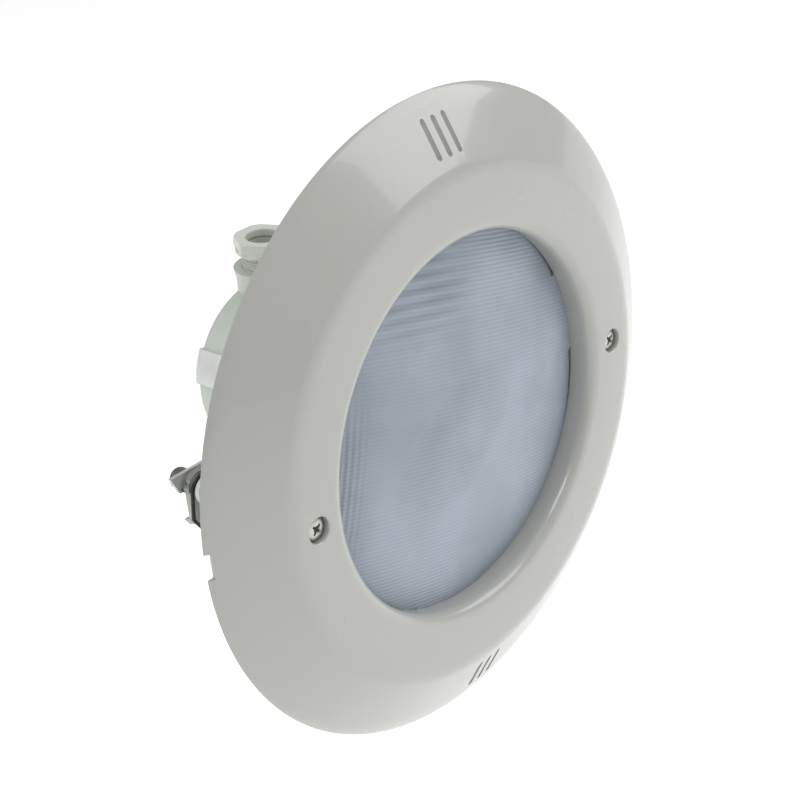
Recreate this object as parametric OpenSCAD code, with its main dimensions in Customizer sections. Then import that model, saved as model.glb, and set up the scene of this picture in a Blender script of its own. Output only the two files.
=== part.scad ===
// Underwater pool light: a sealed-beam lamp in a bowl, behind a round face ring that is
// held in its wall niche by two long screws with swinging clamp dogs.
// Units are millimetres. +Z is up, +Y runs back into the wall and the light faces -Y.
// The origin is the centre of the plane where the ring's rim seats on the pool wall.

/* [Face ring] */
// Outer radius of the face ring
ring_r = 140; // [132:1:150]
// Radius where the sloping flank meets the flat front
crease_r = 110.8; // [108:0.2:114]
// Height of the flat front above the wall
ring_h = 18; // [17:0.1:18.4]
// Radius of the window at its narrowest
window_r = 82.4; // [81:0.2:83]
// Thickness of the ring's moulded skin
skin_t = 3; // [2:0.1:3.2]
// Number of stiffening ribs behind the ring
rib_count = 24; // [12:4:36]
// Width of each vent slot
vent_w = 2.6; // [1.6:0.1:3]
// Distance between neighbouring vent slots
vent_pitch = 6.2; // [5:0.1:8]
// Width of the notch in the rim beside each screw
notch_w = 11; // [6:0.5:14]

/* [Clamps] */
// Distance of each clamp screw from the centre
screw_x = 97.5; // [97.5:0.5:99]
// Radius of the screw's shank
screw_r = 3; // [2.5:0.1:3]
// Radius of the screw's head
head_r = 5; // [4.8:0.1:5.4]
// Width of a clamp dog
dog_w = 12; // [9:0.5:12]
// Distance from the screw to the tip of the dog
dog_reach = 19.5; // [19:0.25:20]
// Thickness of the keeper band
band_t = 1.4; // [1.2:0.1:1.6]

/* [Housing] */
// Radius of the bowl's rear barrel
rear_r = 40.5; // [39.5:0.25:41.5]
// Depth of the bowl's flat back behind the wall plane
rear_y = 109; // [107:0.5:110]
// Width of the strap over the bowl's back
strap_w = 15.5; // [12:0.5:16]
// Turn of the strap from level, in degrees
strap_turn = 19.3; // [18:0.1:24]
// Wall thickness of the bowl
bowl_t = 3; // [2:0.1:3]
// Number of screws in the retaining ring
retaining_count = 8; // [4:4:8]

/* [Cable gland] */
// Width of the gland screw's hexagon across its flats
gland_hex = 24; // [23:0.5:25]
// Radius of the cable bore
cable_r = 7.6; // [7:0.1:7.6]
// Outer radius of the gland screw's thread
gland_thread_r = 10; // [9.9:0.05:10]
// Pitch of the gland screw's thread
gland_pitch = 1.5; // [1:0.5:1.5]
// Forward lean of the gland from upright, in degrees
gland_lean = 4; // [0:0.5:5]

/* [Lamp] */
// Radius of the lamp's glass rim
lamp_r = 88.5; // [88:0.1:88.5]
// How far the lens bulges forward of its rim
lens_bulge = 8; // [6:0.5:9]

/* [Hidden] */
$fn = 96;
eps = 0.01;
fit = 0.05;
gap = 0.2;

// Stations along the lamp's axis, from the front to the back
wall_end_y = -4.6;
retaining_y = -6.9;
flange_y = -4.4;
flange_t = 5;
flange_r = 104;
seat_y = 4.6;
seat_r = 89.9;
side_r = 92.6;
shoulder_t = 2.5;
recess_y = -13.2;
o_ring_t = 1;
head_h = 2.4;
boss_r = 7;
vent_in_r = 118;
vent_out_r = 131;
notch_depth = 2.2;
retaining_t = 2.5;
retaining_pcd_r = 96;
retaining_screw_r = 1.9;
retaining_boss_r = 3.6;
strap_foot_y = 5.6;
strap_t = 1.2;
strap_nut_y = strap_foot_y + strap_t + gap;
strap_nut_t = 2.6;
strap_nut_r = 3.2;

// Clamp stations
bush_r = 5;
bush_y = 41.2;
bush_len = 9.4;
bush_flange_r = 6.5;
bush_flange_t = 2.2;
dog_y = 47.2;
dog_t = 3;
hub_r = 6.6;
tooth_reach = 3.4;
band_y = 45.6;
band_tilt = 3;
band_half = dog_w / 2 + band_t / 2 + gap;
band_low = -dog_reach + 6.5;
foot_y = 51.5;
foot_t = 1.6;
tab_len = 15;
nut_y = foot_y + foot_t + gap;
nut_flat_t = 4.2;
nut_r = 5.3;
nut_cap_r = 4.6;
screw_end_y = nut_y + 6;
rivet_x = 65.3;
rivet_y = 62.5;
rivet_lean = 49.4;
rivet_r = 1.6;
sleeve_r = 4.6;
sleeve_y = 2.4;
sleeve_len = 14;
clip_y = 0.9;
clip_t = 0.8;

// Gland stations, measured upwards from the top of the gland boss
gland_y = 98.8;
gland_z = 49.4;
gland_gap = 7.4;
gland_flange_t = 2.4;
gland_flange_r = 12.6;
gland_hex_h = 4.4;
thread_len = 13.5;
gland_travel = 4.5;
washer_t = 1.5;
washer_top = gland_gap - thread_len - fit;
grommet_h = 7.5;
wire_r = 4.5;
gland_floor = washer_top - washer_t - gland_travel - grommet_h - 3 * fit;

// Lamp stations
glass_t = 3;
rim_y = -2.6;
rim_t = 3;
mirror_y = rim_y + rim_t;
mirror_rim_t = 1.7;
mirror_r = 84.8;
mirror_apex_y = 68;
focus_y = 39;
post_x = 9;
post_r = 0.9;
base_r = 17;
base_back_y = 80;
terminal_r = 3.4;

// ---------- shared shapes ----------

// A point of the quadratic curve from a to c that leaves and arrives towards b
function bend_point(a, b, c, t) = (1 - t) * (1 - t) * a + 2 * t * (1 - t) * b + t * t * c;

// The curve from a to c as points, without its first
function bend(a, b, c, steps = 8) = [for (i = [1:steps]) bend_point(a, b, c, i / steps)];

// Turns a profile of [radius, depth] points about the lamp's axis
module turned(profile) {
    rotate([-90, 0, 0])
        rotate_extrude($fn = 180)
            polygon([for (p = profile) [p[0], p[1]]]);
}

// A round bar along the depth axis, from y0 to y1
module bar(r, y0, y1) {
    translate([0, y0, 0])
        rotate([-90, 0, 0])
            cylinder(r = r, h = y1 - y0);
}

// A tube along the depth axis
module tube(r, bore, y0, y1) {
    difference() {
        bar(r, y0, y1);
        bar(bore, y0 - 1, y1 + 1);
    }
}

// Puts its children on both clamp axes; the right side is the left turned half round
module both_sides() {
    left_side() children();
    right_side() children();
}

module left_side() {
    translate([-screw_x, 0, 0]) children();
}

module right_side() {
    rotate([0, 180, 0]) left_side() children();
}

// Puts its children on the gland's axis, with z = 0 on top of the boss
module on_gland() {
    translate([0, gland_y, gland_z])
        rotate([gland_lean, 0, 0])
            children();
}

// ---------- face ring ----------

flank = [ring_r - 9, -6.45];
crease = [crease_r, -ring_h + 0.4];
lip = [87.6, -ring_h];
throat = [window_r, -12.4];

ring_front = concat(
    [[ring_r, 0]],
    bend([ring_r, 0], [ring_r - 1.2, -2.15], flank),
    bend(crease + [4, 2.2], crease, crease + [-5, -0.4]),
    [lip],
    bend(lip, [window_r, -ring_h], throat),
    [[83.5, wall_end_y]]);

ring_back = concat(
    [[86.2, wall_end_y], [86.2, -ring_h + skin_t + 2]],
    bend([86.2, -ring_h + skin_t + 2], [86.2, -ring_h + skin_t], [88.2, -ring_h + skin_t], 4),
    [[crease_r - 2, -ring_h + skin_t], [ring_r - 10.5, -3.8], [ring_r - 5.5, -1.2],
     [ring_r - 5, 0]]);

// One round-ended vent slot, cut straight back through the flank
module vent_slot(x) {
    translate([x, -ring_h, 0])
        rotate([-90, 0, 0])
            for (z = [vent_in_r, vent_out_r])
                translate([0, -z, 0])
                    cylinder(r = vent_w / 2, h = ring_h, $fn = 32);
    translate([x - vent_w / 2, -ring_h, vent_in_r])
        cube([vent_w, ring_h, vent_out_r - vent_in_r]);
}

// The ribs in the hollow behind the flank
module ring_ribs() {
    intersection() {
        turned([[107, -ring_h + skin_t - 0.5], [ring_r - 10, -4.2], [ring_r - 10, -1.2],
                [107, -9]]);
        for (i = [0:rib_count - 1])
            rotate([0, (i + 0.5) * 360 / rib_count, 0])
                translate([-1, -ring_h, 0])
                    cube([2, ring_h, ring_r]);
    }
}

module face_ring() {
    color([0.80, 0.81, 0.78])
    difference() {
        union() {
            turned(concat(ring_front, ring_back));
            ring_ribs();
            both_sides() bar(boss_r, -ring_h + skin_t - 0.5, flange_y - 0.1);
        }
        for (turn = [0, 180])
            rotate([0, turn, 0])
                for (i = [-1:1]) vent_slot(i * vent_pitch);
        both_sides() {
            bar(screw_r + 0.3, -ring_h - 1, 0);
            bar(head_r + 0.4, -ring_h - 1, recess_y);
        }
        for (side = [-1, 1])
            translate([side * (ring_r - 0.6) - 2.4, -notch_depth, -notch_w / 2])
                cube([4.8, notch_depth + 1, notch_w]);
    }
}

module head_o_rings() {
    color([0.08, 0.08, 0.08])
    both_sides() tube(head_r - 0.1, screw_r + 0.15, recess_y - o_ring_t, recess_y);
}

// ---------- retaining ring and gasket ----------

// Puts its children at each retaining screw; the first and the one across from it are
// under the strap's feet
module at_retaining_screws() {
    for (i = [0:retaining_count - 1])
        rotate([0, i * 360 / retaining_count - 90 + strap_turn, 0])
            translate([0, 0, retaining_pcd_r])
                children();
}

// Puts its children at the two retaining screws that hold the strap
module at_strap_feet() {
    for (turn = [-90, 90])
        rotate([0, turn + strap_turn, 0])
            translate([0, 0, retaining_pcd_r])
                children();
}

module retaining_ring() {
    color([0.72, 0.73, 0.72])
    difference() {
        turned([[86.9, retaining_y], [100.5, retaining_y], [100.5, retaining_y + retaining_t],
                [86.9, retaining_y + retaining_t]]);
        both_sides() bar(boss_r + 1, retaining_y - 1, flange_y + 1);
        at_retaining_screws() bar(retaining_screw_r + 0.2, retaining_y - 1, flange_y + 1);
    }
}

module retaining_screws() {
    color([0.70, 0.70, 0.69])
    union() {
        at_retaining_screws() {
            bar(3.6, retaining_y - 2.4, retaining_y);
            bar(retaining_screw_r, retaining_y - eps, flange_y + flange_t + 4);
        }
        at_strap_feet() bar(retaining_screw_r, flange_y, strap_nut_y + strap_nut_t + 0.6);
    }
}

module lens_gasket() {
    color([0.52, 0.53, 0.52])
    turned([[84.7, flange_y], [seat_r - 0.1, flange_y], [seat_r - 0.1, seat_y],
            [85.6, seat_y], [85.6, mirror_y + mirror_rim_t + 0.1],
            [lamp_r + 0.2, mirror_y + mirror_rim_t + 0.1], [lamp_r + 0.2, rim_y - 0.1],
            [84.7, rim_y - 0.1]]);
}

// ---------- lamp ----------

lens_in_r = 83.2;
lens_front = [for (i = [0:16]) let (r = lens_in_r * (1 - i / 16))
              [r, -5 - lens_bulge * (1 - pow(r / lens_in_r, 2))]];
lens_back = [for (i = [0:16]) let (r = (lens_in_r - 2.4) * i / 16)
             [r, mirror_y - glass_t + 1 - lens_bulge * (1 - pow(r / lens_in_r, 2))]];

// The outside of the reflector, a parabola of [radius, depth] points
function mirror_curve(r0, y0, apex, steps) =
    [for (i = [0:steps]) let (r = r0 * (1 - i / steps)) [r, apex - (apex - y0) * pow(r / r0, 2)]];

module lamp_lens() {
    color([0.60, 0.66, 0.74, 0.6])
    turned(concat([[lamp_r, mirror_y], [lamp_r, rim_y], [lens_in_r, rim_y]],
                  lens_front, [for (p = lens_back) p], [[lens_in_r - 2.4, mirror_y]]));
}

module lamp_reflector() {
    inner = mirror_curve(82, mirror_y, mirror_apex_y - glass_t, 20);
    outer = mirror_curve(mirror_r, mirror_y + mirror_rim_t, mirror_apex_y, 20);
    color([0.75, 0.77, 0.80])
    difference() {
        turned(concat([[lamp_r, mirror_y], [lamp_r, mirror_y + mirror_rim_t]], outer,
                      [for (i = [20:-1:0]) inner[i]]));
        for (x = [-post_x, post_x])
            translate([x, 0, 0]) bar(post_r + 0.1, focus_y, mirror_apex_y + 1);
    }
}

module lamp_filament() {
    color([0.35, 0.34, 0.32])
    for (i = [0:11])
        translate([(i - 5.5) * 1.1, focus_y, 0])
            rotate([0, 90, 0])
                rotate_extrude($fn = 40)
                    translate([1.7, 0]) circle(r = 0.56, $fn = 16);
}

module filament_supports() {
    color([0.62, 0.62, 0.60])
    for (side = [-1, 1])
        translate([side * post_x, 0, 0]) {
            bar(post_r, focus_y - 1.2, mirror_apex_y + 6);
            translate([-side * 2.2, focus_y, 0])
                rotate([0, side * 90, 0])
                    cylinder(r = post_r * 0.7, h = 2.2, $fn = 24);
        }
}

module lamp_base() {
    color([0.86, 0.85, 0.80])
    difference() {
        bar(base_r, mirror_apex_y - 4.2, base_back_y);
        turned(concat(mirror_curve(mirror_r, mirror_y + mirror_rim_t + gap,
                                   mirror_apex_y + gap, 20), [[0, -5], [mirror_r, -5]]));
        for (x = [-post_x, post_x])
            translate([x, 0, 0]) bar(post_r + 0.1, mirror_apex_y - 6, mirror_apex_y + 6.2);
    }
}

module lamp_terminals() {
    color([0.72, 0.58, 0.30])
    for (x = [-post_x, post_x])
        translate([x, 0, 0])
            difference() {
                union() {
                    bar(terminal_r, base_back_y, base_back_y + 6);
                    bar(terminal_r + 1.6, base_back_y, base_back_y + 1.4);
                }
                bar(1.6, base_back_y + 1, base_back_y + 7);
            }
}

module terminal_screws() {
    color([0.72, 0.72, 0.70])
    for (x = [-post_x, post_x])
        translate([x, 0, 0])
            difference() {
                union() {
                    bar(1.55, base_back_y + 1.6, base_back_y + 6.1);
                    bar(3.2, base_back_y + 6, base_back_y + 8.2);
                }
                translate([-4, base_back_y + 7.2, -0.4]) cube([8, 2, 0.8]);
            }
}

// ---------- housing ----------

// The bowl's flat back, its rounded rear edge and its barrel, moved outwards by d
function bowl_back(d) = let (r = rear_r + d, y = rear_y + d, edge = 3 + d / 2) concat(
    [[0, y], [r - edge, y]],
    bend([r - edge, y], [r, y], [r, y - edge], 5),
    [[r, 90]]);

// The bowl's side from the barrel to the flange, moved outwards by d
function bowl_side(d) =
    [for (p = [[42.5, 84.5], [49.5, 77.5], [58, 69.5], [70, 57], [81, 39.5], [88, 21], [91.6, 9]])
     [p[0] + 0.78 * d, p[1] + 0.62 * d]];

// The whole outside of the bowl behind its flange
function bowl_outline(d) = concat(bowl_back(d), bowl_side(d));

module gland_boss() {
    on_gland() {
        translate([0, 0, -6]) cylinder(r1 = 13, r2 = 14, h = 6);
        translate([0, 0, gland_floor - 2.5]) cylinder(r = 13, h = -gland_floor + 2.5 - 5.9);
    }
}

module housing_bowl() {
    color([0.74, 0.76, 0.73])
    difference() {
        union() {
            difference() {
                union() {
                    turned(concat(bowl_outline(0),
                                  [[side_r, seat_y + shoulder_t], [side_r, flange_y + flange_t],
                                   [flange_r, flange_y + flange_t], [flange_r, flange_y],
                                   [0, flange_y]]));
                    both_sides() bar(boss_r + 1, flange_y, flange_y + flange_t);
                }
                turned(concat(bowl_outline(-bowl_t),
                              [[86.4, seat_y + shoulder_t], [86.4, seat_y],
                               [0, seat_y]]));
                bar(seat_r, flange_y - 1, seat_y);
            }
            gland_boss();
            at_retaining_screws() bar(retaining_boss_r, flange_y + 1, strap_foot_y);
        }
        bar(seat_r, flange_y - 1, seat_y);
        both_sides() bar(screw_r + 0.2, flange_y - 1, flange_y + flange_t + 1);
        at_retaining_screws() bar(retaining_screw_r + fit, flange_y - 1, strap_foot_y + 1);
        for (turn = [0, 180])
            rotate([0, turn, 0])
                at_rivet() translate([0, 0, -bowl_t - 3]) cylinder(r = rivet_r + fit, h = 10);
        on_gland() {
            translate([0, 0, gland_floor]) cylinder(r = gland_thread_r + 0.1, h = 30);
            translate([0, 0, gland_floor - 3]) cylinder(r = wire_r, h = 8);
        }
    }
}

// ---------- back strap and clamp brackets ----------

// A skin of the bowl's outside, t thick and a gap away from it, behind depth y0
module bowl_skin(t, y0) {
    difference() {
        turned(concat(bowl_outline(t + gap),
                      [[side_r + gap + t, seat_y + shoulder_t], [side_r + gap + t, y0], [0, y0]]));
        turned(concat(bowl_outline(gap),
                      [[side_r + gap, seat_y + shoulder_t + 0.1], [side_r + gap, y0 - 1],
                       [0, y0 - 1]]));
    }
}

// A band over the bowl's back between two feet under retaining screws
module back_strap() {
    foot_r = retaining_pcd_r + 6;
    color([0.80, 0.81, 0.80])
    difference() {
        rotate([0, strap_turn, 0])
            union() {
                intersection() {
                    bowl_skin(strap_t, strap_foot_y + gap / 2);
                    translate([-ring_r, 0, -strap_w / 2]) cube([2 * ring_r, 150, strap_w]);
                }
                for (side = [-1, 1])
                    translate([side * (foot_r + side_r + 0.6) / 2 - (foot_r - side_r - 0.6) / 2,
                               strap_foot_y + gap / 2, -strap_w / 2])
                        cube([foot_r - side_r - 0.6, strap_t, strap_w]);
            }
        at_strap_feet() {
            bar(retaining_screw_r + gap, 0, 20);
            bar(strap_nut_r + 0.3, strap_nut_y - gap / 4, 13);
        }
    }
}

module strap_nuts() {
    color([0.66, 0.66, 0.64])
    at_strap_feet()
        difference() {
            translate([0, strap_nut_y, 0])
                rotate([-90, 0, 0])
                    cylinder(r = strap_nut_r, h = strap_nut_t, $fn = 6);
            bar(retaining_screw_r + fit, strap_nut_y - 1, strap_nut_y + strap_nut_t + 1);
        }
}

// Puts its children at the left rivet, with +Z out of the bowl
module at_rivet() {
    translate([-rivet_x, rivet_y, 0])
        rotate([0, 0, rivet_lean])
            rotate([-90, 0, 0])
                children();
}

// A bracket from the bowl's side to its clamp screw's end, drawn on the left
module clamp_bracket() {
    difference() {
        union() {
            translate([0, foot_y + foot_t, 0])
                rotate([90, 0, 0])
                    linear_extrude(foot_t)
                        polygon([[-73.9, 6.6], [-screw_x - 11, 6.6], [-screw_x - 7.4, -1.4],
                                 [-screw_x - 3.8, -1.2], [-screw_x - 3.2, -5.6], [-73.9, -5.6]]);
            intersection() {
                bowl_skin(foot_t, 5);
                translate([-90, foot_y, -5.6]) cube([40, tab_len, 12.2]);
            }
        }
        translate([-screw_x, 0, 0]) bar(screw_r + 0.15, foot_y - 1, foot_y + foot_t + 1);
        at_rivet() translate([0, 0, -1]) cylinder(r = rivet_r + gap / 2, h = 5);
    }
}

module clamp_brackets() {
    color([0.80, 0.81, 0.80])
    for (turn = [0, 180])
        rotate([0, turn, 0]) clamp_bracket();
}

module bracket_rivets() {
    color([0.72, 0.72, 0.70])
    for (turn = [0, 180])
        rotate([0, turn, 0])
            at_rivet() {
                translate([0, 0, -bowl_t + 0.4])
                    cylinder(r = rivet_r, h = bowl_t + foot_t + gap + 0.1);
                translate([0, 0, foot_t + gap + 0.4])
                    cylinder(r1 = 3, r2 = 2, h = 1);
            }
}

module stop_pins() {
    color([0.45, 0.45, 0.43])
    both_sides() translate([-5.9, 0, -0.3]) bar(0.8, dog_y + dog_t + gap, foot_y);
}

// ---------- clamp parts, drawn about the left screw's axis ----------

module clamp_screw() {
    head_back = recess_y - o_ring_t;
    difference() {
        union() {
            turned(concat([[0, head_back], [head_r, head_back], [head_r, head_back - 0.7]],
                          bend([head_r, head_back - 0.7], [head_r - 0.6, head_back - head_h],
                               [0, head_back - head_h])));
            bar(screw_r, head_back - eps, screw_end_y);
        }
        for (turn = [45, 135])
            rotate([0, turn, 0])
                translate([-3.1, head_back - head_h - 1, -0.55])
                    cube([6.2, 2.9, 1.1]);
        translate([0, head_back - head_h - eps, 0])
            rotate([-90, 0, 0])
                cylinder(r1 = 2, r2 = 0.9, h = 1.4);
    }
}

module left_clamp_screw() { color([0.66, 0.66, 0.64]) left_side() clamp_screw(); }
module right_clamp_screw() { color([0.66, 0.66, 0.64]) right_side() clamp_screw(); }

module screw_clip() {
    tube(screw_r + 1.6, screw_r + fit, clip_y, clip_y + clip_t);
}

module left_screw_clip() { color([0.5, 0.5, 0.48]) left_side() screw_clip(); }
module right_screw_clip() { color([0.5, 0.5, 0.48]) right_side() screw_clip(); }

// A dome nut: a hexagon with a round cap over the screw's end
module end_nut() {
    difference() {
        union() {
            translate([0, nut_y, 0])
                rotate([-90, 30, 0])
                    cylinder(r = nut_r, h = nut_flat_t, $fn = 6);
            turned(concat([[0, nut_y + nut_flat_t - eps], [nut_cap_r, nut_y + nut_flat_t - eps],
                           [nut_cap_r, nut_y + 6]],
                          bend([nut_cap_r, nut_y + 6], [nut_cap_r, nut_y + 9.2],
                               [0, nut_y + 9.2])));
        }
        bar(screw_r + fit, nut_y - 1, screw_end_y + 0.3);
    }
}

module left_end_nut() { color([0.44, 0.44, 0.42]) left_side() end_nut(); }
module right_end_nut() { color([0.44, 0.44, 0.42]) right_side() end_nut(); }

module dog_bush() {
    difference() {
        union() {
            bar(bush_r, bush_y, bush_y + bush_len);
            bar(bush_flange_r, bush_y, bush_y + bush_flange_t);
        }
        bar(screw_r + fit, bush_y - 1, bush_y + bush_len + 1);
    }
}

module left_dog_bush() { color([0.70, 0.60, 0.38]) left_side() dog_bush(); }
module right_dog_bush() { color([0.70, 0.60, 0.38]) right_side() dog_bush(); }

// A dog: a plate hanging from its hub, with a pointed tip and a tooth on its outer corner
module clamp_dog() {
    corner_z = -dog_reach + 5.5;
    difference() {
        union() {
            bar(hub_r, dog_y, dog_y + dog_t);
            translate([0, dog_y + dog_t, 0])
                rotate([90, 0, 0])
                    linear_extrude(dog_t)
                        polygon([[-dog_w / 2, 0], [-dog_w / 2, corner_z], [0, -dog_reach],
                                 [dog_w / 2, corner_z], [dog_w / 2, 0]]);
            translate([-dog_w / 2, 0, 0])
                rotate([90, 0, 90])
                    linear_extrude(dog_w)
                        polygon([[dog_y + dog_t - eps, corner_z + 0.8],
                                 [dog_y + dog_t + tooth_reach, corner_z - 0.5],
                                 [dog_y + dog_t - eps, corner_z - 2.2], [dog_y, corner_z - 2.2],
                                 [dog_y, corner_z + 0.8]]);
        }
        bar(bush_r + fit, dog_y - 1, dog_y + dog_t + 1);
    }
}

module left_clamp_dog() { color([0.62, 0.63, 0.62]) left_side() clamp_dog(); }
module right_clamp_dog() { color([0.62, 0.63, 0.62]) right_side() clamp_dog(); }

// One edge of the keeper band's loop, moved outwards by d: over the bush, down both sides
// of the dog and round its tip
function band_edge(d) = concat(
    [for (a = [20:20:160]) (bush_r + 1.5 + d) * [cos(a), sin(a)]],
    [[-band_half - d, band_low - 0.3 * d], [0, -dog_reach - 1.5 - 1.3 * d],
     [band_half + d, band_low - 0.3 * d]]);

module keeper_band() {
    translate([0, band_y, 0])
        rotate([90 + band_tilt, 0, 0])
            linear_extrude(band_t, center = true)
                difference() {
                    polygon(band_edge(band_t / 2));
                    polygon(band_edge(-band_t / 2));
                }
}

module left_keeper_band() { color([0.05, 0.05, 0.06]) left_side() keeper_band(); }
module right_keeper_band() { color([0.05, 0.05, 0.06]) right_side() keeper_band(); }

module spacer_sleeves() {
    color([0.74, 0.76, 0.73])
    both_sides() tube(sleeve_r, screw_r + 0.2, sleeve_y, sleeve_y + sleeve_len);
}

// ---------- cable gland ----------

module gland_grommet() {
    color([0.10, 0.10, 0.10])
    on_gland()
        translate([0, 0, gland_floor])
            difference() {
                cylinder(r = gland_thread_r, h = grommet_h);
                translate([0, 0, -1]) cylinder(r = cable_r - 2.6, h = grommet_h + 2);
            }
}

module gland_washer() {
    color([0.30, 0.30, 0.30])
    on_gland()
        translate([0, 0, washer_top - washer_t])
            difference() {
                cylinder(r = gland_thread_r, h = washer_t);
                translate([0, 0, -1]) cylinder(r = cable_r - 0.6, h = washer_t + 2);
            }
}

// The gland screw's thread as [radius, height] points, one ridge to each turn
thread_points = [for (i = [0:thread_len / gland_pitch - 1])
                 let (z = gland_gap - thread_len + i * gland_pitch)
                 each [[gland_thread_r - 0.8, z], [gland_thread_r, z + gland_pitch * 0.4],
                       [gland_thread_r, z + gland_pitch * 0.6],
                       [gland_thread_r - 0.8, z + gland_pitch]]];

module gland_screw() {
    hex_z = gland_gap + gland_flange_t;
    color([0.78, 0.79, 0.76])
    on_gland()
        difference() {
            union() {
                rotate_extrude($fn = 96)
                    polygon(concat([[0, gland_gap - thread_len]], thread_points,
                                   [[0, gland_gap]]));
                translate([0, 0, gland_gap])
                    cylinder(r = gland_flange_r, h = gland_flange_t);
                intersection() {
                    translate([0, 0, hex_z - eps])
                        cylinder(d = gland_hex / cos(30), h = gland_hex_h + eps, $fn = 6);
                    translate([0, 0, hex_z - eps])
                        cylinder(r1 = gland_hex / 2 + 4, r2 = gland_hex / 2 + 1.3,
                                 h = gland_hex_h + eps);
                }
            }
            translate([0, 0, -thread_len]) cylinder(r = cable_r, h = 40);
        }
}

face_ring();
head_o_rings();
retaining_ring();
retaining_screws();
lens_gasket();
lamp_lens();
lamp_reflector();
lamp_filament();
filament_supports();
lamp_base();
lamp_terminals();
terminal_screws();
housing_bowl();
back_strap();
strap_nuts();
clamp_brackets();
bracket_rivets();
stop_pins();
spacer_sleeves();
gland_grommet();
gland_washer();
gland_screw();
left_clamp_screw();
left_screw_clip();
left_end_nut();
left_dog_bush();
left_clamp_dog();
left_keeper_band();
right_clamp_screw();
right_screw_clip();
right_end_nut();
right_dog_bush();
right_clamp_dog();
right_keeper_band();
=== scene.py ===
"""The looks of an underwater pool light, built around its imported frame.

Lengths inside the classes are millimetres in the frame's own axes: X runs through the two
clamp screws, Y runs back into the wall and Z is up. Each finished piece is scaled to metres.
"""

from __future__ import annotations

import logging
import math
from abc import ABC, abstractmethod
from dataclasses import dataclass
from enum import Enum
from typing import Callable, Iterable, Sequence

import bmesh
import bpy
from mathutils import Matrix, Vector


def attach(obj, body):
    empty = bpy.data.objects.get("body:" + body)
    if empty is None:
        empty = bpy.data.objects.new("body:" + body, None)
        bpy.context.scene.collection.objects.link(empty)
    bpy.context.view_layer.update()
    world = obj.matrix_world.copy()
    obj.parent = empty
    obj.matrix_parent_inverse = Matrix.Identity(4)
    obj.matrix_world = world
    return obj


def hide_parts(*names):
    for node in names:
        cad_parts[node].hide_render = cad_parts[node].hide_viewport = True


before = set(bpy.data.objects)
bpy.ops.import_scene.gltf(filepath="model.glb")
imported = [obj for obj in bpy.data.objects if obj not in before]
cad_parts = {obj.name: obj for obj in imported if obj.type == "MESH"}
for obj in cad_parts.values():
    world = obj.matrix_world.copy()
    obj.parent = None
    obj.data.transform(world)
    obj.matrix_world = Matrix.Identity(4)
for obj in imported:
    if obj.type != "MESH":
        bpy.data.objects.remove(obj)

LOG = logging.getLogger("pool_light")
MM = 0.001
FULL_TURN = 2 * math.pi
SCREW_X = 97.5

Point = tuple[float, float]
Colour = tuple[float, float, float]
Socket = bpy.types.NodeSocket


# ---------------------------------------------------------------- outlines and solids


class Cut(Enum):
    """What a tool does to the piece it meets."""

    REMOVE = "DIFFERENCE"
    ADD = "UNION"
    KEEP_COMMON = "INTERSECT"


class Side(Enum):
    """The two clamp axes; the right one is the left one turned half round the lamp."""

    LEFT = "left"
    RIGHT = "right"

    def place(self) -> Matrix:
        """The transform from a clamp drawn about the Y axis to its own place.

        Returns:
            The matrix, in millimetres.
        """
        to_left = Matrix.Translation((-SCREW_X, 0, 0))
        if self is Side.LEFT:
            return to_left
        return Matrix.Rotation(math.pi, 4, "Y") @ to_left


def bend(start: Point, corner: Point, end: Point, steps: int = 8) -> list[Point]:
    """A smooth curve that leaves start and reaches end towards their shared corner.

    Args:
        start: the point it leaves, which isn't repeated.
        corner: where the two end directions cross.
        end: the last point.
        steps: how many points it takes.

    Returns:
        The curve's points after start.
    """
    points = []
    for i in range(1, steps + 1):
        t = i / steps
        a, b, c = (1 - t) ** 2, 2 * t * (1 - t), t * t
        points.append(
            (a * start[0] + b * corner[0] + c * end[0], a * start[1] + b * corner[1] + c * end[1])
        )
    return points


def rounded(corners: Sequence[Point], radius: float, steps: int = 4) -> list[Point]:
    """A closed outline with each of its corners rounded.

    Args:
        corners: the sharp outline's corners, in order.
        radius: how far from each corner the rounding starts.
        steps: points in each rounding.

    Returns:
        The rounded outline.
    """
    points: list[Point] = []
    for before, here, after in zip(corners[-1:] + corners[:-1], corners, corners[1:] + corners[:1]):
        ends = []
        for other in (before, after):
            away = Vector(other) - Vector(here)
            reach = min(radius, away.length * 0.45)
            ends.append(tuple(Vector(here) + away.normalized() * reach))
        points.append(ends[0])
        points.extend(bend(ends[0], here, ends[1], steps))
    return points


def lathe(outline: Sequence[Point], steps: int = 96, closed: bool = True) -> bmesh.types.BMesh:
    """Turns an outline of (radius, depth) points about the Y axis.

    Args:
        outline: the points; an open outline starts and ends on the axis.
        steps: how many segments the turn has.
        closed: whether the last point joins the first.

    Returns:
        The turned solid.
    """
    bm = bmesh.new()
    verts = [bm.verts.new((radius, depth, 0)) for radius, depth in outline]
    for a, b in zip(verts, verts[1:]):
        bm.edges.new((a, b))
    if closed:
        bm.edges.new((verts[-1], verts[0]))
    bmesh.ops.spin(
        bm, geom=bm.verts[:] + bm.edges[:], cent=(0, 0, 0), axis=(0, 1, 0), dvec=(0, 0, 0),
        angle=FULL_TURN, steps=steps, use_merge=True,
    )
    return sealed(bm)


def sealed(bm: bmesh.types.BMesh) -> bmesh.types.BMesh:
    """Merges doubled points and turns every face outwards."""
    bmesh.ops.remove_doubles(bm, verts=bm.verts[:], dist=0.0005)
    bmesh.ops.recalc_face_normals(bm, faces=bm.faces[:])
    return bm


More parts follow.
